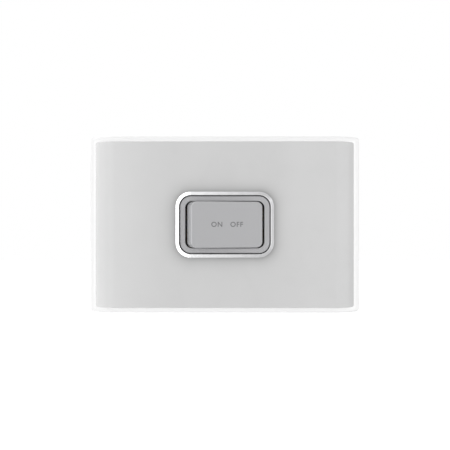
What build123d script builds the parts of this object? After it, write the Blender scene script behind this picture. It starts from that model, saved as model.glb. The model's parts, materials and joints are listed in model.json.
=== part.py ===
"""Cooker switch: a 45 A double-pole rocker switch on a wide screwless wall plate.

The plate stands upright as it hangs on the wall: X runs along its width, Z is up and the face looks
to -Y. The origin is the centre of the wall plane, so the switch body reaches behind it, to +Y.
Sizes are in millimetres. A level is a distance in front of the wall, and is negative in the wall box.
"""

from math import cos, radians, sin, sqrt, tan
import os

from build123d import *

os.makedirs("parts", exist_ok=True)

# Plate: a white backing frame with a grey face clipped over it
plate_width = 147.5
plate_height = 95.5
plate_level = 10.8
plate_corner = 1.6
rim_side = 3.65
rim_top = 3.2
rim_round = 1.2
face_thickness = 2.5
face_corner = 0.9
roll_length = 14.25
face_drop = 4.4
frame_drop = 4.4
frame_wall = 2.2

# Fixing slots of a double box
fixing_pitch = 120.6
slot_length = 7.5
slot_width = 4.0
slot_floor = 2.5
screw_pocket_length = 11.0
screw_pocket_width = 7.4
boss_wall = 1.8

# Clips that hold the face to the frame
clip_pitch = 45.0
clip_inset = 4.8
clip_width = 7.0
clip_thickness = 1.4
clip_hook = 0.8
clip_reach = 4.2

# Bezel
bezel_width = 52.5
bezel_height = 35.2
bezel_corner = 8.15
bezel_band = 1.93
bezel_brim = 1.15
bezel_edge = 0.4
bezel_stand = 1.5
bezel_crest = 0.35
bezel_round = 0.7

# Collar round the rocker, and the flange behind the frame
collar_gap = 0.42
collar_level = 11.4
collar_side = 2.75
collar_top = 2.7
collar_edge = 0.4
opening_corner = 3.6
flange_margin = 0.3
flange_height = 42.0
flange_thickness = 2.5
flange_corner = 3.0

# Rocker: its end walls are arcs about the pivot, so the end gaps stay even
end_gap = 0.7
side_gap = 0.31
rocker_rise = 8.0
rocker_corner = 3.0
rocker_edge = 0.5
rocker_wall = 1.8
rocker_skirt = 2.0
rocker_tilt = 9.0
pivot_below_collar = 4.6
trunnion_radius = 1.55
trunnion_length = 2.1
running_gap = 0.06

# Plungers and their springs
pole_pitch = 15.0
tube_radius = 3.7
tube_end = 8.0
plunger_radius = 2.6
nose_radius = 2.0
nose_reach = 14.0
plunger_length = 11.0
nose_gap = 0.28
spring_radius = 1.9
spring_wire = 0.35
spring_turns = 5

# Contact blades: each rocks on a bead in the cradle of the supply strip
blade_thickness = 1.0
blade_width = 7.0
blade_reach = 14.4
blade_tail = 11.0
blade_slope = 7.0
bead_radius = 1.5
contact_reach = 12.4
contact_radius = 2.0
contact_height = 0.9
touch_gap = 0.1

# Copper strips
strip_thickness = 1.2
strip_width = 8.0
strip_leg_gap = 0.3
cradle_half = 3.2
cradle_lip = 0.95

# Terminals
terminal_length = 12.0
terminal_depth = 11.0
terminal_width = 10.0
terminal_start = 17.2
terminal_rise = 4.5
terminal_roof = 1.8
cable_radius = 3.2
terminal_screw_pitch = 6.0
terminal_screw_radius = 2.0
terminal_head_radius = 2.6
terminal_head_height = 2.0
terminal_screw_back = 0.1
terminal_screw_length = 5.2

# Switch base
base_end_wall = 2.6
base_back = 26.5
base_recess_margin = 0.9
base_recess_floor = 0.2
pocket_gap = 0.2
tunnel_radius = 3.7

# Screws
case_screw_inset_x = 5.0
case_screw_inset_z = 4.1
case_screw_radius = 1.45
case_screw_length = 20.0
case_screw_seat = 19.5
case_head_radius = 2.7
case_head_height = 1.8
case_post_radius = 3.0
case_post_length = 8.0
module_boss_gap = 1.3
module_screw_z = 13.0
module_screw_radius = 1.45
module_screw_length = 8.0
module_head_radius = 2.8
module_boss_radius = 3.2
module_boss_length = 4.6
thread_gap = 0.05
hole_gap = 0.25
sink_angle = 82.0
slot_cut_width = 0.8
slot_cut_depth = 0.9

# Earth terminal, in a socket on the back of the frame
earth_gap = 1.25
earth_length = 10.0
earth_depth = 10.0
earth_width = 9.0
earth_front = 2.5
earth_cable_radius = 2.4
earth_socket_wall = 1.6
earth_socket_back = 3.5

# Fit and edges
fit_gap = 0.15
small_edge = 0.3

# Levels and places that follow from the sizes above
frame_level = plate_level - face_thickness
frame_inside = frame_level - frame_wall
flange_back = frame_inside - flange_thickness
face_width = plate_width - 2 * rim_side
face_height = plate_height - 2 * rim_top
roll_start = plate_width / 2 - roll_length
sleeve_width = bezel_width - 2 * bezel_brim
sleeve_height = bezel_height - 2 * bezel_brim
sleeve_corner = bezel_corner - bezel_brim
bezel_inner_width = bezel_width - 2 * bezel_band
bezel_inner_height = bezel_height - 2 * bezel_band
bezel_inner_corner = bezel_corner - bezel_band
collar_width = bezel_inner_width - 2 * collar_gap
collar_height = bezel_inner_height - 2 * collar_gap
collar_corner = bezel_inner_corner - collar_gap
opening_width = collar_width - 2 * collar_side
opening_height = collar_height - 2 * collar_top
end_radius = opening_width / 2 - end_gap
rocker_half = opening_height / 2 - side_gap
face_half = sqrt(end_radius**2 - rocker_rise**2)
pivot_level = collar_level - pivot_below_collar
pole_z = pole_pitch / 2
nose_y = -pivot_level + nose_reach * cos(radians(rocker_tilt))
blade_y = nose_y + nose_radius + nose_gap + blade_thickness / 2
contact_face_y = blade_y + blade_thickness / 2 + contact_height
strip_front_y = contact_face_y + touch_gap + contact_height
strip_back_y = strip_front_y + strip_thickness
terminal_front_y = strip_back_y - terminal_rise
terminal_back_y = terminal_front_y + terminal_depth
cable_y = terminal_front_y + terminal_roof + cable_radius
terminal_end = terminal_start + terminal_length
terminal_mid = terminal_start + terminal_length / 2
base_width = 2 * (terminal_end + pocket_gap + base_end_wall)
base_height = flange_height
base_recess_width = opening_width + 2 * base_recess_margin
base_recess_height = opening_height + 2 * base_recess_margin
case_screw_x = base_width / 2 - case_screw_inset_x
case_screw_z = base_height / 2 - case_screw_inset_z
module_screw_x = base_width / 2 + module_boss_gap + module_boss_radius
flange_width = 2 * (module_screw_x + module_boss_radius + flange_margin)
earth_z = -(flange_height / 2 + earth_gap + earth_socket_wall + fit_gap + earth_width / 2)
pole_heights = (pole_z, -pole_z)

rocker_pose = Location((0, -pivot_level, 0), (0, 0, rocker_tilt))
blade_pose = Location((0, blade_y, 0), (0, 0, -blade_slope))


def rolled_slab(width, height, level, end, drop, corner):
    """A slab on the wall plane whose flat front rolls back to its left and right ends."""
    half = width / 2
    with BuildPart() as slab:
        with BuildSketch(Plane.XY):
            with BuildLine():
                Polyline((-end, drop - level), (-end, 0), (end, 0), (end, drop - level))
                TangentArc((roll_start, -level), (end, drop - level), tangent=(1, 0))
                Line((-roll_start, -level), (roll_start, -level))
                TangentArc((-roll_start, -level), (-end, drop - level), tangent=(-1, 0))
            make_face()
        extrude(amount=height / 2, both=True)
        with BuildSketch(Plane.XZ):
            RectangleRounded(2 * half, height, corner)
        extrude(amount=level, mode=Mode.INTERSECT)
    return slab.part


def write(piece, name):
    """Label a finished piece and write its file."""
    piece.label = name
    export_step(piece, f"parts/{name}.step")


def slotted_screw(radius, length, head_radius, head_height):
    """A round-head slotted screw along -Y, with the underside of its head at the origin."""
    with BuildPart() as screw:
        with BuildSketch(Plane.XZ):
            Circle(radius)
        extrude(amount=length)
        with BuildSketch(Plane.XZ):
            Circle(head_radius)
        extrude(amount=-head_height)
        fillet(screw.edges().sort_by(Axis.Y)[-1], small_edge)
        chamfer(screw.edges().sort_by(Axis.Y)[0], small_edge)
        with BuildSketch(Plane.XZ.offset(-head_height)):
            Rectangle(2 * head_radius, slot_cut_width)
        extrude(amount=slot_cut_depth, mode=Mode.SUBTRACT)
    return screw.part


# Solids that two pieces share
frame_slab = rolled_slab(plate_width, plate_height, frame_level, plate_width / 2, frame_drop, plate_corner)
face_slab = rolled_slab(face_width, face_height, plate_level, face_width / 2, face_drop, face_corner)

clip_places = [(x, z) for x in (-clip_pitch, 0, clip_pitch) for z in (-1, 1)]
clip_z = face_height / 2 - clip_inset
module_places = [(x * module_screw_x, z * module_screw_z) for x in (-1, 1) for z in (-1, 1)]
case_places = [(x * case_screw_x, z * case_screw_z) for x in (-1, 1) for z in (-1, 1)]

# Backing frame: a shallow tray with a rounded rim, open at the back
with BuildPart() as backing_frame:
    add(frame_slab)
    rim_line = 0.1 - frame_level + frame_drop
    rim_edges = backing_frame.edges().filter_by(lambda edge: edge.center().Y < rim_line)
    rim_sides = rim_edges.filter_by(lambda edge: abs(edge.center().X) > plate_width / 2 - 0.01)
    rim_rows = rim_edges.filter_by(lambda edge: abs(edge.center().Z) > plate_height / 2 - 0.01)
    fillet(rim_sides + rim_rows, rim_round)
    tray = rolled_slab(
        plate_width - 2 * frame_wall,
        plate_height - 2 * frame_wall,
        frame_inside,
        plate_width / 2 - frame_wall,
        frame_drop,
        plate_corner / 2,
    )
    add(tray, mode=Mode.SUBTRACT)
    # Bosses round the fixing slots reach the wall
    with BuildSketch(Plane.XZ):
        with GridLocations(fixing_pitch, 0, 2, 1):
            SlotOverall(screw_pocket_length + 2 * boss_wall, screw_pocket_width + 2 * boss_wall)
    bosses = extrude(amount=frame_level, mode=Mode.PRIVATE)
    add(bosses & frame_slab)
    with BuildSketch(Plane.XZ.offset(slot_floor)):
        with GridLocations(fixing_pitch, 0, 2, 1):
            SlotOverall(screw_pocket_length, screw_pocket_width)
    extrude(amount=frame_level, mode=Mode.SUBTRACT)
    with BuildSketch(Plane.XZ):
        with GridLocations(fixing_pitch, 0, 2, 1):
            SlotOverall(slot_length, slot_width)
    extrude(amount=slot_floor, mode=Mode.SUBTRACT)
    # Opening for the bezel's sleeve
    with BuildSketch(Plane.XZ):
        RectangleRounded(sleeve_width + 4 * fit_gap, sleeve_height + 4 * fit_gap, sleeve_corner + 2 * fit_gap)
    extrude(amount=plate_level, mode=Mode.SUBTRACT)
    # Locating wall round the flange
    with BuildSketch(Plane.XZ.offset(flange_back)):
        RectangleRounded(
            flange_width + 2 * fit_gap + 2 * boss_wall,
            flange_height + 2 * fit_gap + 2 * boss_wall,
            flange_corner + fit_gap + boss_wall,
        )
        RectangleRounded(
            flange_width + 2 * fit_gap,
            flange_height + 2 * fit_gap,
            flange_corner + fit_gap,
            mode=Mode.SUBTRACT,
        )
    extrude(amount=flange_thickness + frame_wall / 2)
    # Windows for the clips
    with BuildSketch(Plane.XZ.offset(frame_inside - frame_wall)):
        for x, side in clip_places:
            with Locations((x, side * clip_z)):
                Rectangle(clip_width + 2 * fit_gap, clip_thickness + 2 * fit_gap)
    extrude(amount=3 * frame_wall, mode=Mode.SUBTRACT)
    # Socket of the earth terminal
    with BuildSketch(Plane.XZ.offset(-earth_socket_back)):
        with Locations((0, earth_z)):
            socket_rim = 2 * (fit_gap + earth_socket_wall)
            Rectangle(earth_length + socket_rim, earth_width + socket_rim)
    extrude(amount=earth_socket_back + frame_inside + frame_wall / 2)
    with BuildSketch(Plane.XZ.offset(-earth_socket_back)):
        with Locations((0, earth_z)):
            Rectangle(earth_length + 2 * fit_gap, earth_width + 2 * fit_gap)
    extrude(amount=earth_socket_back + earth_front, mode=Mode.SUBTRACT)
    with BuildSketch(Plane.YZ):
        with Locations((earth_depth / 2 - earth_front, earth_z)):
            Circle(earth_cable_radius + hole_gap)
    extrude(amount=earth_length, both=True, mode=Mode.SUBTRACT)
    # Countersunk holes for the module screws
    with Locations(Plane.XZ.offset(frame_level)):
        with Locations(*module_places):
            CounterSinkHole(
                module_screw_radius + hole_gap,
                module_head_radius + thread_gap,
                2 * frame_wall,
                sink_angle,
            )

write(backing_frame.part, "backing_frame")

# Front plate: the grey face, lying on the frame, with hooks that grip behind it
with BuildPart() as front_plate:
    add(face_slab)
    face_edges = front_plate.edges().filter_by(lambda edge: edge.center().Y < 0.1 - plate_level + face_drop)
    face_sides = face_edges.filter_by(lambda edge: abs(edge.center().X) > face_width / 2 - 0.01)
    face_rows = face_edges.filter_by(lambda edge: abs(edge.center().Z) > face_height / 2 - 0.01)
    fillet(face_sides + face_rows, small_edge)
    add(frame_slab, mode=Mode.SUBTRACT)
    with BuildSketch(Plane.XZ):
        RectangleRounded(sleeve_width + 2 * fit_gap, sleeve_height + 2 * fit_gap, sleeve_corner + fit_gap)
    extrude(amount=2 * plate_level, mode=Mode.SUBTRACT)
    for x, side in clip_places:
        foot = frame_level - clip_reach
        out = side * (clip_z + clip_thickness / 2)
        back = side * (clip_z - clip_thickness / 2)
        tip = out + side * clip_hook
        catch = frame_inside - fit_gap
        with BuildSketch(Plane.YZ.offset(x)):
            with BuildLine():
                Polyline(
                    (-frame_level, back),
                    (-foot, back),
                    (-foot, out),
                    (-(foot + catch) / 2, tip),
                    (-catch, tip),
                    (-catch, out),
                    (-frame_level, out),
                    close=True,
                )
            make_face()
        extrude(amount=clip_width / 2, both=True)

write(front_plate.part, "front_plate")

# Bezel ring: a sloped brim on the face and a sleeve down to the flange
with BuildPart() as bezel_ring:
    with BuildSketch(Plane.XZ.offset(plate_level)):
        RectangleRounded(bezel_width, bezel_height, bezel_corner)
    extrude(amount=bezel_stand)
    crest = bezel_ring.faces().sort_by(Axis.Y)[0]
    chamfer(crest.edges(), bezel_band - bezel_crest, bezel_stand - bezel_edge, reference=crest)
    fillet(bezel_ring.faces().sort_by(Axis.Y)[0].edges(), bezel_round)
    with BuildSketch(Plane.XZ.offset(frame_inside)):
        RectangleRounded(sleeve_width, sleeve_height, sleeve_corner)
    extrude(amount=plate_level - frame_inside)
    with BuildSketch(Plane.XZ):
        RectangleRounded(bezel_inner_width, bezel_inner_height, bezel_inner_corner)
    extrude(amount=2 * plate_level, mode=Mode.SUBTRACT)

write(bezel_ring.part, "bezel_ring")

# Rocker surround: the collar that shows inside the bezel, with the flange behind the frame
with BuildPart() as rocker_surround:
    with BuildSketch(Plane.XZ.offset(flange_back)):
        RectangleRounded(collar_width, collar_height, collar_corner)
    extrude(amount=collar_level - flange_back)
    fillet(rocker_surround.faces().sort_by(Axis.Y)[0].edges(), collar_edge)
    with BuildSketch(Plane.XZ.offset(flange_back)):
        RectangleRounded(flange_width, flange_height, flange_corner)
    extrude(amount=flange_thickness)
    # Bosses for the module screws and posts for the case screws, behind the flange
    with BuildSketch(Plane.XZ.offset(flange_back)):
        with Locations(*module_places):
            Circle(module_boss_radius)
    extrude(amount=-module_boss_length)
    with BuildSketch(Plane.XZ.offset(flange_back)):
        with Locations(*case_places):
            Circle(case_post_radius)
    extrude(amount=-case_post_length)
    # Ribs that hold the terminals down
    with BuildSketch(Plane.XZ.offset(flange_back)):
        for side in (-1, 1):
            for z in pole_heights:
                with Locations((side * (terminal_end - strip_width / 4), z)):
                    Rectangle(strip_width / 2, strip_width)
    extrude(amount=-(flange_back + terminal_front_y - strip_thickness - small_edge / 2))
    with BuildSketch(Plane.XZ):
        RectangleRounded(opening_width, opening_height, opening_corner)
    extrude(amount=2 * collar_level, mode=Mode.SUBTRACT)
    fillet(rocker_surround.faces().sort_by(Axis.Y)[0].inner_wires()[0].edges(), small_edge)
    with BuildSketch(Plane.XZ.offset(frame_inside)):
        with Locations(*module_places):
            Circle(module_screw_radius + thread_gap)
    extrude(amount=-(flange_thickness + module_boss_length - 1), mode=Mode.SUBTRACT)
    with BuildSketch(Plane.XZ.offset(flange_back - case_post_length)):
        with Locations(*case_places):
            Circle(case_screw_radius + thread_gap)
    extrude(amount=case_post_length, mode=Mode.SUBTRACT)
    # Bearings of the rocker's trunnions
    with BuildSketch(Plane.XY.offset(-collar_height / 2)):
        with Locations((0, -pivot_level)):
            Circle(trunnion_radius + running_gap)
    extrude(amount=collar_height, mode=Mode.SUBTRACT)

write(rocker_surround.part, "rocker_surround")


def rocker_block(top, radius, bottom, half_height):
    """A block about the pivot with a flat front, arc-shaped end walls and flat sides."""
    with BuildPart() as block:
        with BuildSketch(Plane.XY):
            with BuildLine():
                front = sqrt(radius**2 - top**2)
                foot = sqrt(radius**2 - bottom**2)
                Line((-front, -top), (front, -top))
                ThreePointArc((front, -top), (radius, 0), (foot, bottom))
                Line((foot, bottom), (-foot, bottom))
                ThreePointArc((-foot, bottom), (-radius, 0), (-front, -top))
            make_face()
        extrude(amount=half_height, both=True)
    return block.part


# Rocker, modelled about its pivot and level with the plate
outer_block = rocker_block(rocker_rise, end_radius, rocker_skirt, rocker_half)
inner_block = rocker_block(
    rocker_rise - rocker_wall, end_radius - rocker_wall, rocker_skirt + 1, rocker_half - rocker_wall
)
tube_floor = rocker_rise - 2 * rocker_wall
with BuildPart() as level_rocker:
    add(outer_block)
    fillet(level_rocker.edges().filter_by(GeomType.CIRCLE), rocker_corner)
    fillet(level_rocker.faces().sort_by(Axis.Y)[0].edges(), rocker_edge)
    add(inner_block, mode=Mode.SUBTRACT)
    # Tubes for the plungers, joined by a web
    with BuildSketch(Plane.XZ.offset(rocker_rise - rocker_wall / 2)):
        with Locations((0, pole_z), (0, -pole_z)):
            Circle(tube_radius)
        Rectangle(rocker_wall, pole_pitch)
    extrude(amount=-(rocker_rise - rocker_wall / 2 + tube_end))
    with BuildSketch(Plane.XZ.offset(rocker_skirt)):
        Rectangle(2 * tube_radius, pole_pitch - 2 * tube_radius)
    extrude(amount=-(rocker_skirt + tube_end), mode=Mode.SUBTRACT)
    with BuildSketch(Plane.XZ.offset(-tube_end)):
        with Locations((0, pole_z), (0, -pole_z)):
            Circle(plunger_radius + fit_gap)
    extrude(amount=tube_end + tube_floor, mode=Mode.SUBTRACT)
    # Ribs behind the face
    with BuildSketch(Plane.XZ.offset(rocker_rise - rocker_wall / 2)):
        for side in (-1, 1):
            with Locations((side * (tube_radius + face_half) / 2, 0)):
                Rectangle(rocker_wall, 2 * rocker_half - rocker_wall)
    extrude(amount=-2 * rocker_wall)
    # Trunnions
    for side in (-1, 1):
        with BuildSketch(Plane.XY.offset(side * (rocker_half - rocker_wall / 2))):
            Circle(trunnion_radius)
        extrude(amount=side * (trunnion_length + rocker_wall / 2))

with BuildPart() as rocker:
    with Locations(rocker_pose):
        add(level_rocker.part)

write(rocker.part, "rocker")

# Plunger: a nylon pin with a ball nose, hollow for its spring
with BuildPart() as level_plunger:
    with BuildSketch(Plane.XY):
        with BuildLine():
            nose_end = nose_reach + nose_radius
            shoulder = nose_reach - nose_radius
            Polyline(
                (0, nose_reach - plunger_length),
                (plunger_radius, nose_reach - plunger_length),
                (plunger_radius, shoulder - plunger_radius + nose_radius),
                (nose_radius, shoulder),
                (nose_radius, nose_reach),
            )
            ThreePointArc(
                (nose_radius, nose_reach),
                (nose_radius * sin(radians(45)), nose_reach + nose_radius * cos(radians(45))),
                (0, nose_end),
            )
            Line((0, nose_end), (0, nose_reach - plunger_length))
        make_face()
    revolve(axis=Axis.Y)
    with BuildSketch(Plane.XZ.offset(plunger_length - nose_reach)):
        Circle(spring_radius + fit_gap)
    extrude(amount=-plunger_length / 2, mode=Mode.SUBTRACT)

# Spring: from the floor of the tube to the floor of the plunger's bore
spring_start = fit_gap - tube_floor
spring_end = nose_reach - plunger_length / 2 - fit_gap
spring_height = spring_end - spring_start - 2 * spring_wire
with BuildPart() as level_spring:
    with BuildLine() as coil:
        Helix(
            pitch=spring_height / spring_turns,
            height=spring_height,
            radius=spring_radius - spring_wire,
            center=(0, spring_start + spring_wire, 0),
            direction=(0, 1, 0),
        )
    with BuildSketch(Plane(origin=coil.line @ 0, z_dir=coil.line % 0)):
        RegularPolygon(spring_wire, 6)
    sweep(is_frenet=True)

for name, z in (("live", pole_z), ("neutral", -pole_z)):
    with BuildPart() as plunger:
        with Locations(rocker_pose * Location((0, 0, z))):
            add(level_plunger.part)
    write(plunger.part, f"plunger_{name}")
    with BuildPart() as plunger_spring:
        with Locations(rocker_pose * Location((0, 0, z))):
            add(level_spring.part)
    write(plunger_spring.part, f"plunger_spring_{name}")

# Contact blade, modelled about its bead: two arms that slope to the front, and a tail that rests
arm = cos(radians(blade_slope))
rise = sin(radians(blade_slope))
tail_foot = strip_front_y - touch_gap - blade_y
with BuildPart() as level_blade:
    with BuildSketch(Plane.XY):
        tail = (-blade_tail * arm, -blade_tail * rise)
        with BuildLine():
            Polyline(
                (tail[0] - tail_foot * rise, tail[1] + tail_foot * arm),
                tail,
                (0, 0),
                (blade_reach * arm, -blade_reach * rise),
            )
        trace(line_width=blade_thickness)
        with BuildLine():
            ThreePointArc((bead_radius, 0), (0, bead_radius), (-bead_radius, 0))
            Line((-bead_radius, 0), (bead_radius, 0))
        make_face()
    extrude(amount=blade_width / 2, both=True)

# Contact tip: a flat silver rivet head, with its shank end at the origin
with BuildPart() as contact_button:
    with BuildSketch(Plane.XZ):
        Circle(contact_radius)
    extrude(amount=-contact_height)
    chamfer(contact_button.edges().sort_by(Axis.Y)[-1], small_edge)

# Supply strip: from the terminal's front down to the floor, with the cradle of the blade
leg_x = terminal_start - strip_leg_gap
front_y = terminal_front_y - strip_thickness
with BuildPart() as supply_form:
    with BuildSketch(Plane.XY):
        with BuildLine():
            Polyline(
                (-terminal_end, front_y),
                (-leg_x + strip_thickness, front_y),
                (-leg_x + strip_thickness, strip_front_y),
                (-cradle_half, strip_front_y),
                (-cradle_half, blade_y + cradle_lip),
                (cradle_half, blade_y + cradle_lip),
                (cradle_half, strip_back_y),
                (-leg_x, strip_back_y),
                (-leg_x, terminal_front_y),
                (-terminal_end, terminal_front_y),
                close=True,
            )
        make_face()
        with Locations((0, blade_y)):
            Circle(bead_radius + running_gap, mode=Mode.SUBTRACT)
    extrude(amount=strip_width / 2, both=True)

# Load strip: carries the fixed contact
with BuildPart() as load_form:
    with BuildSketch(Plane.XY):
        with BuildLine():
            Polyline(
                (terminal_end, front_y),
                (leg_x - strip_thickness, front_y),
                (leg_x - strip_thickness, strip_front_y),
                (contact_reach - 1.5 * contact_radius, strip_front_y),
                (contact_reach - 1.5 * contact_radius, strip_back_y),
                (leg_x, strip_back_y),
                (leg_x, terminal_front_y),
                (terminal_end, terminal_front_y),
                close=True,
            )
        make_face()
    extrude(amount=strip_width / 2, both=True)

# Terminal: a brass block with a cable bore along X and two tapped holes from the back
terminal_screw_places = [terminal_mid - terminal_screw_pitch / 2, terminal_mid + terminal_screw_pitch / 2]
with BuildPart() as terminal_form:
    with BuildSketch(Plane.XZ.offset(-terminal_front_y)):
        with Locations((terminal_mid, 0)):
            Rectangle(terminal_length, terminal_width)
    extrude(amount=-terminal_depth)
    chamfer(terminal_form.edges(), small_edge)
    with BuildSketch(Plane.YZ):
        with Locations((cable_y, 0)):
            Circle(cable_radius)
    extrude(amount=terminal_end, mode=Mode.SUBTRACT)
    with BuildSketch(Plane.XZ.offset(-terminal_back_y)):
        for x in terminal_screw_places:
            with Locations((x, 0)):
                Circle(terminal_screw_radius + thread_gap)
    extrude(amount=terminal_back_y - cable_y, mode=Mode.SUBTRACT)

terminal_screw = slotted_screw(
    terminal_screw_radius, terminal_screw_length, terminal_head_radius, terminal_head_height
)
tip_y = cable_y + cable_radius + terminal_screw_back
arm_pose = Location((contact_reach * arm, -contact_reach * rise, 0), (0, 0, -blade_slope))
button_on_arm = arm_pose * Location((0, blade_thickness / 2, 0))

for name, z in (("live", pole_z), ("neutral", -pole_z)):
    with BuildPart() as contact_blade:
        with Locations(Location((0, 0, z)) * blade_pose):
            add(level_blade.part)
    write(contact_blade.part, f"contact_blade_{name}")
    with BuildPart() as moving_contact:
        with Locations(Location((0, 0, z)) * blade_pose * button_on_arm):
            add(contact_button.part)
    write(moving_contact.part, f"moving_contact_{name}")
    with BuildPart() as fixed_contact:
        with Locations(Location((contact_reach, strip_front_y, z), (0, 0, 180))):
            add(contact_button.part)
    write(fixed_contact.part, f"fixed_contact_{name}")
    with BuildPart() as supply_strip:
        with Locations((0, 0, z)):
            add(supply_form.part)
    write(supply_strip.part, f"supply_strip_{name}")
    with BuildPart() as load_strip:
        with Locations((0, 0, z)):
            add(load_form.part)
    write(load_strip.part, f"load_strip_{name}")
    with BuildPart() as load_terminal:
        with Locations((0, 0, z)):
            add(terminal_form.part)
    write(load_terminal.part, f"load_terminal_{name}")
    with BuildPart() as supply_terminal:
        with Locations((-2 * terminal_mid, 0, z)):
            add(terminal_form.part)
    write(supply_terminal.part, f"supply_terminal_{name}")

with BuildPart() as terminal_screws:
    for side in (-1, 1):
        for x in terminal_screw_places:
            for z in pole_heights:
                with Locations((side * x, tip_y + terminal_screw_length, z)):
                    add(terminal_screw)

write(terminal_screws.part, "terminal_screws")

# Switch base: a thick moulding with a chamber for each pole, closed by the flange
with BuildPart() as switch_base:
    with BuildSketch(Plane.XZ.offset(flange_back)):
        RectangleRounded(base_width, base_height, flange_corner)
    extrude(amount=-(flange_back + base_back))
    fillet(switch_base.faces().sort_by(Axis.Y)[-1].edges(), 1)
    with BuildSketch(Plane.XZ.offset(flange_back)):
        RectangleRounded(base_recess_width, base_recess_height, opening_corner)
    extrude(amount=-(flange_back + base_recess_floor), mode=Mode.SUBTRACT)
    # Chambers with the terminal pockets at their ends
    with BuildSketch(Plane.XZ.offset(flange_back)):
        with GridLocations(0, pole_pitch, 1, 2):
            Rectangle(2 * (terminal_end + pocket_gap), terminal_width + 2 * pocket_gap)
    extrude(amount=-(flange_back + strip_back_y), mode=Mode.SUBTRACT)
    with BuildSketch(Plane.XZ.offset(-strip_back_y)):
        with GridLocations(2 * terminal_mid, pole_pitch, 2, 2):
            Rectangle(terminal_length + 2 * pocket_gap, terminal_width + 2 * pocket_gap)
    extrude(amount=-(terminal_back_y - strip_back_y), mode=Mode.SUBTRACT)
    # Cable tunnels in the end walls
    for side in (-1, 1):
        with BuildSketch(Plane.YZ.offset(side * base_width / 2)):
            with Locations((cable_y, pole_z), (cable_y, -pole_z)):
                Circle(tunnel_radius)
        extrude(amount=-side * (base_width / 2 - terminal_end), mode=Mode.SUBTRACT)
    # Access to the terminal screws
    with BuildSketch(Plane.XZ.offset(-base_back)):
        with GridLocations(2 * terminal_mid, pole_pitch, 2, 2):
            SlotCenterToCenter(terminal_screw_pitch, 2 * (terminal_head_radius + hole_gap))
    extrude(amount=base_back - terminal_back_y, mode=Mode.SUBTRACT)
    # Wells for the posts, holes for the case screws and wells for their heads
    with BuildSketch(Plane.XZ.offset(flange_back)):
        with Locations(*case_places):
            Circle(case_post_radius + fit_gap)
    extrude(amount=-(case_post_length + small_edge), mode=Mode.SUBTRACT)
    with BuildSketch(Plane.XZ.offset(-case_screw_seat)):
        with Locations(*case_places):
            Circle(case_screw_radius + hole_gap)
    extrude(amount=case_screw_seat, mode=Mode.SUBTRACT)
    with BuildSketch(Plane.XZ.offset(-base_back)):
        with Locations(*case_places):
            Circle(case_head_radius + hole_gap)
    extrude(amount=base_back - case_screw_seat, mode=Mode.SUBTRACT)

write(switch_base.part, "switch_base")

# Case screws, from the back of the base into the posts of the surround
case_screw = slotted_screw(case_screw_radius, case_screw_length, case_head_radius, case_head_height)
with BuildPart() as case_screws:
    for x, z in case_places:
        with Locations((x, case_screw_seat, z)):
            add(case_screw)

write(case_screws.part, "case_screws")

# Module screws, countersunk in the frame under the face
with BuildPart() as module_screw:
    with BuildSketch(Plane.XY):
        with BuildLine():
            cone_end = (module_head_radius - module_screw_radius) / tan(radians(sink_angle / 2))
            Polyline(
                (0, 0),
                (module_head_radius, 0),
                (module_screw_radius, cone_end),
                (module_screw_radius, module_screw_length - small_edge),
                (module_screw_radius - small_edge, module_screw_length),
                (0, module_screw_length),
                close=True,
            )
        make_face()
    revolve(axis=Axis.Y)
    with BuildSketch(Plane.XZ):
        Rectangle(2 * module_head_radius, slot_cut_width)
    extrude(amount=-slot_cut_depth, mode=Mode.SUBTRACT)

with BuildPart() as module_screws:
    for x, z in module_places:
        with Locations((x, -frame_level, z)):
            add(module_screw.part)

write(module_screws.part, "module_screws")

# Earth terminal and its screw
earth_middle = earth_depth / 2 - earth_front
with BuildPart() as earth_terminal:
    with BuildSketch(Plane.XZ.offset(earth_front)):
        with Locations((0, earth_z)):
            Rectangle(earth_length, earth_width)
    extrude(amount=-earth_depth)
    chamfer(earth_terminal.edges(), small_edge)
    with BuildSketch(Plane.YZ):
        with Locations((earth_middle, earth_z)):
            Circle(earth_cable_radius)
    extrude(amount=earth_length, both=True, mode=Mode.SUBTRACT)
    with BuildSketch(Plane.XZ.offset(earth_front - earth_depth)):
        with Locations((0, earth_z)):
            Circle(terminal_screw_radius + thread_gap)
    extrude(amount=earth_depth / 2, mode=Mode.SUBTRACT)

write(earth_terminal.part, "earth_terminal")

earth_tip_y = earth_middle + earth_cable_radius + terminal_screw_back
with BuildPart() as earth_screw:
    with Locations((0, earth_tip_y + terminal_screw_length, earth_z)):
        add(terminal_screw)

write(earth_screw.part, "earth_screw")
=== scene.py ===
"""Cooker switch: finishes, printed legend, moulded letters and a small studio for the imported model.

The frame is in metres, with X along the plate, Z up and the face looking to -Y.
Each operator makes one piece or one group of finishes, and the panel in the sidebar lists them all.
"""

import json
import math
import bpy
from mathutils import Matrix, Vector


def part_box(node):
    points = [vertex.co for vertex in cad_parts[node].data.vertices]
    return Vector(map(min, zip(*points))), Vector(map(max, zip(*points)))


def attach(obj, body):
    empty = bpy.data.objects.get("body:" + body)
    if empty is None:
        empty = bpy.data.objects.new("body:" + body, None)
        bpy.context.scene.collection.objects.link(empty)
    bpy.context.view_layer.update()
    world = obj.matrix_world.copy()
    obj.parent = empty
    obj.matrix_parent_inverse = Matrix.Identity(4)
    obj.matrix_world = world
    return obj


bl_info = {
    "name": "Cooker Switch",
    "version": (1, 0, 0),
    "blender": (4, 5, 0),
    "location": "View3D > Sidebar > Cooker Switch",
    "description": "Finishes, legends and a studio for a wide wall switch with one rocker",
    "category": "Object",
}

import bpy
from mathutils import Matrix, Vector

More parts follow.
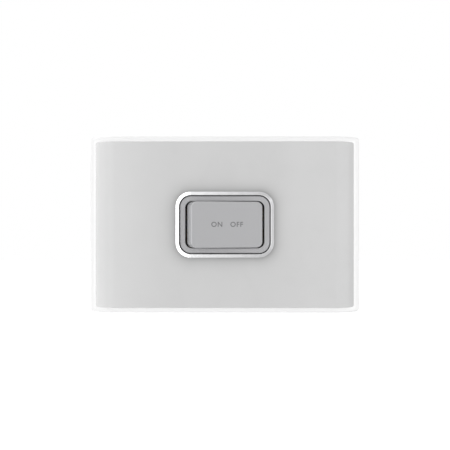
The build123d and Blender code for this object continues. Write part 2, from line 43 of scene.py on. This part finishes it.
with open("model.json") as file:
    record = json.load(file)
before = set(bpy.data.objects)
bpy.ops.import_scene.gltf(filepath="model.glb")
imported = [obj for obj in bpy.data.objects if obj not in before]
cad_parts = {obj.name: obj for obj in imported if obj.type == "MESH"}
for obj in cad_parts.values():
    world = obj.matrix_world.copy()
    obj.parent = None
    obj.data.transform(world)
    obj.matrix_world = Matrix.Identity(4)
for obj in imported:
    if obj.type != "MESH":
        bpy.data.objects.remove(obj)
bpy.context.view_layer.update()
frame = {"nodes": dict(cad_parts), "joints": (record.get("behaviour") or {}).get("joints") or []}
nodes = frame["nodes"]

MM = 0.001


def corners(node):
    """Lowest and highest corner of a CAD node at rest, in metres."""
    return [Vector(corner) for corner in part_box(node)]


# Places that the finishes, the letters and the camera need, in metres. The rocker's face stands
# rocker_rise out from its pivot, and the plate's rim stands rim_level out towards -Y.
rocker_hinge = next(joint for joint in frame["joints"] if joint["name"] == "rocker_hinge")
pivot = Vector(rocker_hinge["pos_m"])
rocker_tilt = -math.radians(rocker_hinge["range_deg"][0]) / 2
rocker_rise = 8.0 * MM
rocker_reach = corners("rocker")[1].x
bezel_low, bezel_high = corners("bezel_ring")
bezel_size = bezel_high - bezel_low
bezel_corner = 8.15 * MM
face_low, face_high = corners("front_plate")
face_size = face_high - face_low
base_low, base_high = corners("switch_base")
rim_level = 6.0 * MM

# Words in the names of the pieces that come in pairs and fours
poles = ("live", "neutral")
ends = ("supply", "load")

# Stretches of the drawing lines on metal that run along X or along Z
lines_along_x = (0.1, 1, 1)
lines_along_z = (1, 1, 0.15)

# Lettering: a capital's height as a share of the font's size, and the space between letters
capital_share = 0.73
letter_space = 1.12


class Field:
    """What a node gives out. Arithmetic on one that is a number adds Math nodes."""

    def __init__(self, finish, socket):
        self.finish = finish
        self.socket = socket

    def maths(self, operation, *values):
        return self.finish.add("ShaderNodeMath", {"operation": operation}, dict(enumerate(values)))

    def __add__(self, other):
        return self.maths("ADD", self, other)

    def __radd__(self, other):
        return self.maths("ADD", other, self)

    def __sub__(self, other):
        return self.maths("SUBTRACT", self, other)

    def __rsub__(self, other):
        return self.maths("SUBTRACT", other, self)

    def __mul__(self, other):
        return self.maths("MULTIPLY", self, other)

    def __rmul__(self, other):
        return self.maths("MULTIPLY", other, self)

    def __truediv__(self, other):
        return self.maths("DIVIDE", self, other)

    def __rtruediv__(self, other):
        return self.maths("DIVIDE", other, self)

    def __pow__(self, other):
        return self.maths("POWER", self, other)

    def __rpow__(self, other):
        return self.maths("POWER", other, self)

    def __abs__(self):
        return self.maths("ABSOLUTE", self)

    def exp(self):
        return self.maths("EXPONENT", self)

    def at_least(self, other):
        return self.maths("MAXIMUM", self, other)

    def at_most(self, other):
        return self.maths("MINIMUM", self, other)

    def ramp(self, start, end, low=0.0, high=1.0):
        """Smoothly from low at start to high at end, and level beyond them."""
        settings = {"interpolation_type": "SMOOTHSTEP"}
        inputs = {"Value": self, "From Min": start, "From Max": end, "To Min": low, "To Max": high}
        return self.finish.add("ShaderNodeMapRange", settings, inputs)


class Finish:
    """A material: its shader's own constants, and the nodes that vary over the surface."""

    def __init__(self, name, colour, constants):
        self.material = bpy.data.materials.new(name)
        self.material.use_nodes = True
        self.tree = self.material.node_tree
        self.shader = self.tree.nodes["Principled BSDF"]
        self.output = self.tree.nodes["Material Output"]
        self.shader.inputs["Base Color"].default_value = (*colour, 1)
        self.material.diffuse_color = (*colour, 1)
        for socket, value in constants.items():
            self.shader.inputs[socket].default_value = value

    def add(self, kind, settings=None, inputs=None, output=0):
        """A node of any type. Its settings come first, then the values or links of its sockets."""
        node = self.tree.nodes.new(kind)
        for name, value in (settings or {}).items():
            setattr(node, name, value)
        for socket, value in (inputs or {}).items():
            if isinstance(value, Field):
                self.tree.links.new(value.socket, node.inputs[socket])
            else:
                node.inputs[socket].default_value = value
        return Field(self, node.outputs[output])

    @classmethod
    def surroundings(cls, name):
        """The world's nodes, to be written in the same way as a material's."""
        sky = cls.__new__(cls)
        sky.material = bpy.data.worlds.new(name)
        sky.material.use_nodes = True
        sky.tree = sky.material.node_tree
        sky.output = sky.tree.nodes["World Output"]
        return sky

    def glow(self, strength):
        """White light of that strength from the surroundings."""
        return self.add("ShaderNodeBackground", inputs={"Color": (1, 1, 1, 1), "Strength": strength})

    def ray(self, kind):
        """1 for the rays of that kind, and 0 for all others."""
        return self.add("ShaderNodeLightPath", output=kind)

    def mixed(self, mask, first, second):
        """One shader where the mask is 0, and the other where it is 1."""
        return self.add("ShaderNodeMixShader", inputs={0: mask, 1: first, 2: second})

    def show(self, shader):
        """Make that shader the one that the surface or the world shows."""
        self.tree.links.new(shader.socket, self.output.inputs["Surface"])

    def feed(self, socket, value):
        """Link a value that varies to a socket of the material's shader."""
        self.tree.links.new(value.socket, self.shader.inputs[socket])

    def place(self, stretch=(1, 1, 1)):
        """The place on the object, in metres, stretched along its axes."""
        here = self.add("ShaderNodeTexCoord", output="Object")
        if stretch == (1, 1, 1):
            return here
        return self.add("ShaderNodeMapping", inputs={"Vector": here, "Scale": stretch})

    def axis(self, letter):
        """X, Y or Z of the place on the object, in metres, or of a direction in the world."""
        return self.add("ShaderNodeSeparateXYZ", inputs={"Vector": self.place()}, output=letter)

    def noise(self, grain, detail=3, roughness=0.5, where=None):
        """Cloudy noise whose patches are about grain metres across."""
        inputs = {
            "Vector": where or self.place(),
            "Scale": 1 / grain,
            "Detail": detail,
            "Roughness": roughness,
        }
        return self.add("ShaderNodeTexNoise", inputs=inputs)

    def specks(self, grain):
        """Distance to the nearest of many scattered points, in units of grain."""
        return self.add("ShaderNodeTexVoronoi", inputs={"Vector": self.place(), "Scale": 1 / grain})

    def blend(self, mask, first, second):
        """The first colour where the mask is 0, and the second where it is 1.

        A Mix node takes colours at its sockets 6 and 7, and gives one out at 2.
        """
        inputs = {0: mask}
        for socket, colour in ((6, first), (7, second)):
            inputs[socket] = colour if isinstance(colour, Field) else (*colour, 1)
        return self.add("ShaderNodeMix", {"data_type": "RGBA"}, inputs, output=2)

    def bump(self, height, depth, strength):
        """Relief of that depth, in metres, on the shader's normal."""
        inputs = {"Height": height, "Distance": depth, "Strength": strength}
        self.feed("Normal", self.add("ShaderNodeBump", inputs=inputs))

    def ring_distance(self, size, corner):
        """Distance outwards from an upright rectangle round the middle; negative inside it.

        All is in metres, and corner is the radius of the rectangle's corners.
        """
        over_x = abs(self.axis("X")) - (size.x / 2 - corner)
        over_z = abs(self.axis("Z")) - (size.z / 2 - corner)
        out_x = over_x.at_least(0.0)
        out_z = over_z.at_least(0.0)
        length = (out_x * out_x + out_z * out_z) ** 0.5
        return length + over_x.at_least(over_z).at_most(0.0) - corner


def shade(colour, factor):
    """The same colour, lighter or darker."""
    return tuple(min(1.0, channel * factor) for channel in colour)


def coat(finish, *names):
    """Give CAD nodes this finish."""
    for name in names:
        slots = nodes[name].material_slots
        for slot in slots:
            slot.material = finish.material
        if not slots:
            nodes[name].data.materials.append(finish.material)


def frame_gloss(colour):
    """White moulded plastic with a soft gloss, with painted light on the rim next to the face, where the
    face's edge shades it, and painted shade on the rim's outer part.
    """
    finish = Finish("frame_gloss", colour, {"Roughness": 0.45, "IOR": 1.46})
    cloud = finish.noise(18 * MM, detail=2).ramp(0.3, 0.7)
    # Painted light and shade: a paler colour within about 2 mm of the face, and a darker one beyond it
    beyond = finish.ring_distance(face_size, corner=0.0).ramp(0.5 * MM, 2.2 * MM)
    tone = finish.blend(beyond, shade(colour, 1.06), shade(colour, 0.97))
    finish.feed("Base Color", finish.blend(cloud * 0.3, tone, shade(colour, 0.98)))
    finish.feed("Roughness", finish.noise(4 * MM).ramp(0.3, 0.7, 0.42, 0.5))
    finish.bump(finish.noise(0.35 * MM), depth=0.006 * MM, strength=0.35)
    return finish


def face_satin(colour, painted_bezel_shade):
    """Light grey satin lacquer with a fine grain, with painted shade where the face meets the bezel,
    standing in for the raised ring's shadow.
    """
    constants = {"Roughness": 0.36, "IOR": 1.46, "Coat Weight": 1.0, "Coat Roughness": 0.1, "Coat IOR": 1.5}
    finish = Finish("face_satin", colour, constants)
    away = finish.ring_distance(bezel_size, bezel_corner)
    # Painted shade: the face's colour darkens towards the bezel and fades out a few millimetres from the
    # ring
    painted_shadow_fade = (away.at_least(0.0) / (-2.4 * MM)).exp()
    cloud = finish.noise(22 * MM, detail=2).ramp(0.3, 0.7)
    speck = finish.noise(0.22 * MM, detail=2).ramp(0.35, 0.65)
    tone = finish.blend(cloud * 0.6 + speck * 0.4, shade(colour, 0.985), shade(colour, 1.012))
    finish.feed("Base Color", finish.blend(painted_shadow_fade * painted_bezel_shade, tone, shade(colour, 0.2)))
    finish.feed("Roughness", (cloud * 0.5 + speck * 0.5).ramp(0.0, 1.0, 0.27, 0.35))
    finish.bump(finish.noise(0.3 * MM), depth=0.008 * MM, strength=0.3)
    return finish


def bezel_metal(colour):
    """Satin chrome with fine polishing lines that follow the ring."""
    finish = Finish("bezel_metal", colour, {"Metallic": 1.0, "Roughness": 0.2})
    outwards = finish.ring_distance(bezel_size, bezel_corner)
    across = finish.add("ShaderNodeCombineXYZ", inputs={"X": outwards, "Y": finish.axis("Y")})
    lines = finish.noise(0.09 * MM, roughness=0.6, where=across)
    smudge = finish.noise(3 * MM)
    finish.feed("Base Color", finish.blend(smudge.ramp(0.3, 0.7), shade(colour, 0.96), colour))
    finish.feed("Roughness", (lines * 0.6 + smudge * 0.4).ramp(0.3, 0.7, 0.16, 0.26))
    finish.bump(lines, depth=0.002 * MM, strength=0.3)
    return finish


def silver_lacquer(name, colour, end_reach=None):
    """Silver-grey lacquer with fine bright flakes. End walls that far from the pivot get painted light, a
    paler colour as though lit from the left.
    """
    constants = {"Metallic": 0.2, "Roughness": 0.42, "Coat Weight": 0.15, "Coat Roughness": 0.25}
    finish = Finish(name, colour, constants)
    flake = finish.specks(0.12 * MM).ramp(0.1, 0.6)
    cloud = finish.noise(9 * MM, detail=2).ramp(0.3, 0.7)
    tone = finish.blend(flake, shade(colour, 1.07), shade(colour, 0.96))
    tone = finish.blend(cloud * 0.5, tone, shade(colour, 0.98))
    if end_reach:
        x = finish.axis("X")
        reach = (x * x + (finish.axis("Y") - pivot.y) ** 2) ** 0.5
        # Painted light: the rocker's end walls are made paler, as though the light from the left catches
        # them
        painted_light_end_wall = reach.ramp(end_reach - 0.2 * MM, end_reach - 0.05 * MM)
        tone = finish.blend(painted_light_end_wall, tone, shade(colour, 1.12))
    finish.feed("Base Color", tone)
    finish.feed("Roughness", (flake * 0.5 + cloud * 0.5).ramp(0.0, 1.0, 0.36, 0.46))
    finish.bump(finish.noise(0.25 * MM), depth=0.006 * MM, strength=0.3)
    return finish


def moulded(name, colour, roughness, grain=0.5 * MM):
    """Plain moulded plastic with a spark-eroded grain and faint flow clouds."""
    finish = Finish(name, colour, {"Roughness": roughness})
    cloud = finish.noise(7 * MM).ramp(0.3, 0.7)
    finish.feed("Base Color", finish.blend(cloud, shade(colour, 0.95), shade(colour, 1.02)))
    finish.feed("Roughness", cloud.ramp(0.0, 1.0, roughness - 0.06, roughness + 0.06))
    finish.bump(finish.noise(grain), depth=0.02 * MM, strength=0.35)
    return finish


def worked_metal(name, colour, roughness, tarnish, stretch=(1, 1, 1)):
    """Bare or plated metal with drawing or turning lines and darker tarnish in patches."""
    finish = Finish(name, colour, {"Metallic": 1.0, "Roughness": roughness})
    lines = finish.noise(0.25 * MM, roughness=0.6, where=finish.place(stretch))
    patch = finish.noise(2.5 * MM, detail=4, roughness=0.6).ramp(0.42, 0.72)
    finish.feed("Base Color", finish.blend(patch * 0.6, colour, tarnish))
    finish.feed("Roughness", (lines * 0.5 + patch * 0.5).ramp(0.1, 0.9, roughness - 0.08, roughness + 0.12))
    finish.bump(lines, depth=0.01 * MM, strength=0.3)
    return finish


class CookerSwitchSettings(bpy.types.PropertyGroup):
    """Colours and sizes that a user would change."""

    frame_colour: bpy.props.FloatVectorProperty(
        name="Frame colour",
        description="Colour of the white backing frame",
        subtype="COLOR",
        min=0,
        max=1,
        default=(0.92, 0.92, 0.92),
    )
    face_colour: bpy.props.FloatVectorProperty(
        name="Face colour",
        description="Colour of the grey face",
        subtype="COLOR",
        min=0,
        max=1,
        default=(0.60, 0.60, 0.60),
    )
    bezel_colour: bpy.props.FloatVectorProperty(
        name="Bezel colour",
        description="Colour of the satin chrome ring",
        subtype="COLOR",
        min=0,
        max=1,
        default=(0.80, 0.80, 0.81),
    )
    rocker_colour: bpy.props.FloatVectorProperty(
        name="Rocker colour",
        description="Colour of the silver rocker and its surround",
        subtype="COLOR",
        min=0,
        max=1,
        default=(0.42, 0.42, 0.43),
    )
    base_colour: bpy.props.FloatVectorProperty(
        name="Base colour",
        description="Colour of the moulded switch base",
        subtype="COLOR",
        min=0,
        max=1,
        default=(0.78, 0.78, 0.76),
    )
    # Painted shade: how much the face's colour is darkened round the bezel, standing in for the ring's
    # shadow
    painted_bezel_shade: bpy.props.FloatProperty(
        name="Shade round the bezel",
        description="How much darker the face is where it meets the bezel",
        subtype="FACTOR",
        min=0,
        max=1,
        default=0.60,
    )
    legend_height: bpy.props.FloatProperty(
        name="Legend height",
        description="Height of the capitals printed on the rocker",
        unit="LENGTH",
        min=0.001,
        default=2.7 * MM,
    )
    letter_height: bpy.props.FloatProperty(
        name="Letter height",
        description="Height of the letters moulded beside the terminals",
        unit="LENGTH",
        min=0.001,
        default=3.2 * MM,
    )
    letter_shift: bpy.props.FloatProperty(
        name="Letter shift",
        description="How far behind the middle of the terminal a moulded letter stands",
        unit="LENGTH",
        default=6.6 * MM,
    )
    camera_distance: bpy.props.FloatProperty(
        name="Camera distance",
        description="From the camera to the plate's rim",
        unit="LENGTH",
        min=0.05,
        default=0.260,
    )
    view_width: bpy.props.FloatProperty(
        name="View width",
        description="Width that the camera sees at the plate's rim",
        unit="LENGTH",
        min=0.05,
        default=0.245,
    )
    ambient: bpy.props.FloatProperty(
        name="Ambient light",
        description="Strength of the light from all round",
        min=0,
        default=0.70,
    )
    window_glow: bpy.props.FloatProperty(
        name="Window light",
        description="Brightness of the large soft light on the left",
        min=0,
        default=0.41,
    )
    side_glow: bpy.props.FloatProperty(
        name="Side light",
        description="Brightness of the soft light on the right",
        min=0,
        default=0.46,
    )
    front_glow: bpy.props.FloatProperty(
        name="Front light",
        description="Brightness of the wide soft light behind the camera",
        min=0,
        default=0.73,
    )
    mirror_level: bpy.props.FloatProperty(
        name="Mirrored level",
        description="Brightness of the surroundings as gloss and metal show them",
        min=0,
        default=0.38,
    )
    mirror_left: bpy.props.FloatProperty(
        name="Mirrored left",
        description="How much brighter gloss and metal show the surroundings on the left",
        min=0,
        default=1.6,
    )
    mirror_right: bpy.props.FloatProperty(
        name="Mirrored right",
        description="How much brighter gloss and metal show the surroundings on the right",
        min=0,
        default=0.22,
    )
    mirror_above: bpy.props.FloatProperty(
        name="Mirrored above",
        description="How much brighter gloss and metal show the surroundings above and below",
        min=0,
        default=0.34,
    )
    mirror_lean: bpy.props.FloatProperty(
        name="Mirrored lean",
        description="How much more the surroundings above and below brighten towards the left",
        min=0,
        default=0.46,
    )
    floor_drop: bpy.props.FloatProperty(
        name="Floor drop",
        description="How far the floor lies below the middle of the plate",
        unit="LENGTH",
        min=0.05,
        default=0.32,
    )


class COOKER_OT_plate(bpy.types.Operator):
    """Finish the frame, the face and the bezel"""

    bl_idname = "cooker.plate"
    bl_label = "Plate finishes"

    def execute(self, context):
        settings = context.scene.cooker_switch
        coat(frame_gloss(tuple(settings.frame_colour)), "backing_frame")
        coat(face_satin(tuple(settings.face_colour), settings.painted_bezel_shade), "front_plate")
        coat(bezel_metal(tuple(settings.bezel_colour)), "bezel_ring")
        return {"FINISHED"}


class COOKER_OT_rocker(bpy.types.Operator):
    """Finish the rocker and its surround"""

    bl_idname = "cooker.rocker"
    bl_label = "Rocker finishes"

    def execute(self, context):
        colour = tuple(context.scene.cooker_switch.rocker_colour)
        coat(silver_lacquer("rocker_lacquer", colour, rocker_reach), "rocker")
        coat(silver_lacquer("surround_lacquer", shade(colour, 0.98)), "rocker_surround")
        return {"FINISHED"}


class COOKER_OT_mechanism(bpy.types.Operator):
    """Finish the pieces of the mechanism behind the plate"""

    bl_idname = "cooker.mechanism"
    bl_label = "Mechanism finishes"

    def execute(self, context):
        base_colour = tuple(context.scene.cooker_switch.base_colour)
        coat(moulded("base_thermoset", base_colour, 0.5), "switch_base")
        nylon = moulded("plunger_nylon", (0.80, 0.78, 0.70), 0.4, grain=0.3 * MM)
        coat(nylon, "plunger_live", "plunger_neutral")
        spring = worked_metal("spring_wire", (0.60, 0.60, 0.61), 0.28, (0.35, 0.34, 0.33))
        coat(spring, "plunger_spring_live", "plunger_spring_neutral")
        copper = worked_metal(
            "blade_copper", (0.72, 0.42, 0.30), 0.32, (0.40, 0.22, 0.15), lines_along_x
        )
        coat(copper, "contact_blade_live", "contact_blade_neutral")
        silver = worked_metal("contact_silver", (0.85, 0.83, 0.80), 0.3, (0.55, 0.50, 0.45))
        coat(silver, *[f"{kind}_contact_{pole}" for kind in ("moving", "fixed") for pole in poles])
        strip = worked_metal(
            "strip_brass", (0.78, 0.60, 0.32), 0.3, (0.50, 0.35, 0.16), lines_along_x
        )
        coat(strip, *[f"{end}_strip_{pole}" for end in ends for pole in poles])
        block = worked_metal(
            "terminal_brass", (0.78, 0.62, 0.34), 0.34, (0.48, 0.34, 0.17), lines_along_z
        )
        coat(block, "earth_terminal", *[f"{end}_terminal_{pole}" for end in ends for pole in poles])
        zinc = worked_metal("screw_zinc", (0.66, 0.66, 0.64), 0.33, (0.50, 0.46, 0.36))
        coat(zinc, "terminal_screws", "case_screws", "module_screws", "earth_screw")
        return {"FINISHED"}


def lettering(context, words, name, place, height, thickness, stroke):
    """Letters made a mesh. Their back lies on the plane of place, and they read from its +Z side.

    The height is a capital's, and the stroke is how much each line is thickened, as a share of it.
    """
    bpy.ops.object.select_all(action="DESELECT")
    bpy.ops.object.text_add()
    letters = context.object
    letters.name = name
    letters.data.body = words
    letters.data.align_x = "CENTER"
    letters.data.align_y = "CENTER"
    letters.data.size = height / capital_share
    letters.data.space_character = letter_space
    letters.data.offset = height * stroke
    letters.data.extrude = thickness / 2
    bpy.ops.object.convert(target="MESH")
    letters = context.object
    letters.matrix_world = place @ Matrix.Translation((0, 0, thickness / 2))
    bpy.ops.object.transform_apply(location=True, rotation=True, scale=True)
    return letters


class COOKER_OT_legend(bpy.types.Operator):
    """Print the legend on the rocker"""

    bl_idname = "cooker.legend"
    bl_label = "Rocker legend"

    def execute(self, context):
        settings = context.scene.cooker_switch
        ink = Finish("legend_ink", (0.15, 0.15, 0.155), {"Roughness": 0.5})
        ink.feed("Roughness", ink.noise(0.2 * MM, detail=2).ramp(0.3, 0.7, 0.42, 0.58))
        patch = ink.noise(0.5 * MM).ramp(0.3, 0.7)
        ink.feed("Base Color", ink.blend(patch, (0.13, 0.13, 0.135), (0.17, 0.17, 0.175)))
        thickness = 0.03 * MM
        sunk = thickness / 3
        # Upright on the rocker's face before it tilts, and sunk a little into the lacquer
        middle = Matrix.Translation((0, sunk - rocker_rise, 0)) @ Matrix.Rotation(math.pi / 2, 4, "X")
        place = Matrix.Translation(pivot) @ Matrix.Rotation(rocker_tilt, 4, "Z") @ middle
        height = settings.legend_height
        legend = lettering(context, "ON   OFF", "rocker_legend", place, height, thickness, stroke=0.02)
        legend.data.materials.append(ink.material)
        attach(legend, "rocker_body")
        return {"FINISHED"}


class COOKER_OT_letters(bpy.types.Operator):
    """Mould the letters beside the cable entries of the switch base"""

    bl_idname = "cooker.letters"
    bl_label = "Moulded letters"

    def execute(self, context):
        settings = context.scene.cooker_switch
        finish = moulded("letter_thermoset", tuple(settings.base_colour), 0.45)
        walls = {"supply": (base_low.x, -1), "load": (base_high.x, 1)}
        words = {"live": "L", "neutral": "N"}
        height = settings.letter_height
        thickness = 0.45 * MM
        for end, (wall, side) in walls.items():
            turn = Matrix.Rotation(side * math.pi / 2, 4, "Z") @ Matrix.Rotation(math.pi / 2, 4, "X")
            for pole, word in words.items():
                low, high = corners(f"{end}_terminal_{pole}")
                middle = (low + high) / 2
                place = Matrix.Translation((wall, middle.y + settings.letter_shift, middle.z)) @ turn
                name = f"letter_{end}_{pole}"
                letter = lettering(context, word, name, place, height, thickness, stroke=0.035)
                letter.data.materials.append(finish.material)
                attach(letter, "base")
        return {"FINISHED"}


class COOKER_OT_studio(bpy.types.Operator):
    """Make the camera, the soft lights, the white surroundings and the pale floor"""

    bl_idname = "cooker.studio"
    bl_label = "Studio"

    def execute(self, context):
        settings = context.scene.cooker_switch
        scene = context.scene
        scene.view_settings.view_transform = "Standard"
        data = bpy.data.cameras.new("camera")
        data.lens = data.sensor_width * settings.camera_distance / settings.view_width
        data.clip_start = 10 * MM
        camera = bpy.data.objects.new("camera", data)
        aside = 0.08 * MM
        below = 0.19 * MM
        camera.location = (aside, -settings.camera_distance - rim_level, -below)
        camera.rotation_euler = (math.pi / 2, 0, 0)
        scene.collection.objects.link(camera)
        scene.camera = camera

        # Name, place, width and height, and brightness of each lamp, all facing the object's middle.
        # A lamp's energy is its brightness times pi times its area.
        lamps = (
            ("window_light", (-0.60, -0.17, 0.08), (0.45, 0.80), settings.window_glow),
            ("side_light", (0.50, -0.55, 0.06), (0.95, 0.95), settings.side_glow),
            ("front_light", (0.0, -1.25, 0.02), (1.50, 1.30), settings.front_glow),
        )
        for name, place, size, glow in lamps:
            light = bpy.data.lights.new(name, "AREA")
            light.shape = "RECTANGLE"
            light.size, light.size_y = size
            light.energy = glow * math.pi * size[0] * size[1]
            lamp = bpy.data.objects.new(name, light)
            lamp.location = place
            lamp.rotation_euler = (-Vector(place)).to_track_quat("-Z", "Y").to_euler()
            lamp.visible_camera = False
            lamp.visible_glossy = name != "front_light"
            scene.collection.objects.link(lamp)

        # Gloss and metal mirror surroundings that are brighter at the sides, above and below
        sky = Finish.surroundings("surroundings")
        x = sky.axis("X")
        left = x.ramp(-0.13, -0.26, high=settings.mirror_left)
        right = x.ramp(0.20, 0.35, high=settings.mirror_right)
        lean = x.ramp(0.09, -0.11, high=settings.mirror_lean)
        above = abs(sky.axis("Z")).ramp(0.05, 0.50) * (lean + settings.mirror_above)
        mirrored = sky.glow(left + right.at_least(above) + settings.mirror_level)
        white = sky.glow(1.0)
        shown = sky.mixed(sky.ray("Is Glossy Ray"), sky.glow(settings.ambient), mirrored)
        shown = sky.mixed(sky.ray("Is Transmission Ray"), shown, white)
        sky.show(sky.mixed(sky.ray("Is Camera Ray"), shown, white))
        scene.world = sky.material

        bpy.ops.object.select_all(action="DESELECT")
        bpy.ops.mesh.primitive_plane_add(size=8, location=(0, 0, -settings.floor_drop))
        floor = context.object
        floor.name = "floor"
        floor.visible_glossy = False
        pale = Finish("floor_paper", (0.90, 0.90, 0.90), {"Roughness": 0.9})
        grain = pale.noise(4 * MM).ramp(0.3, 0.7)
        pale.feed("Base Color", pale.blend(grain, (0.89, 0.89, 0.89), (0.91, 0.91, 0.91)))
        # The camera sees the paper lifted towards white, and the object is lit by the plain paper
        paper = Field(pale, pale.shader.outputs[0])
        lift = pale.add("ShaderNodeEmission", inputs={"Color": (0.6, 0.6, 0.6, 1)})
        lifted = pale.add("ShaderNodeAddShader", inputs={0: paper, 1: lift})
        pale.show(pale.mixed(pale.ray("Is Camera Ray"), paper, lifted))
        floor.data.materials.append(pale.material)
        return {"FINISHED"}


steps = (
    COOKER_OT_plate,
    COOKER_OT_rocker,
    COOKER_OT_mechanism,
    COOKER_OT_legend,
    COOKER_OT_letters,
    COOKER_OT_studio,
)


class COOKER_PT_panel(bpy.types.Panel):
    """The operators and settings in the sidebar"""

    bl_idname = "COOKER_PT_panel"
    bl_label = "Cooker Switch"
    bl_space_type = "VIEW_3D"
    bl_region_type = "UI"
    bl_category = "Cooker Switch"

    def draw(self, context):
        settings = context.scene.cooker_switch
        for name in CookerSwitchSettings.__annotations__:
            self.layout.prop(settings, name)
        for step in steps:
            self.layout.operator(step.bl_idname)


classes = (CookerSwitchSettings, *steps, COOKER_PT_panel)


def register():
    for item in classes:
        bpy.utils.register_class(item)
    bpy.types.Scene.cooker_switch = bpy.props.PointerProperty(type=CookerSwitchSettings)


def unregister():
    del bpy.types.Scene.cooker_switch
    for item in reversed(classes):
        bpy.utils.unregister_class(item)


def main():
    register()
    bpy.ops.cooker.plate()
    bpy.ops.cooker.rocker()
    bpy.ops.cooker.mechanism()
    bpy.ops.cooker.legend()
    bpy.ops.cooker.letters()
    bpy.ops.cooker.studio()


if __name__ == "__main__":
    main()
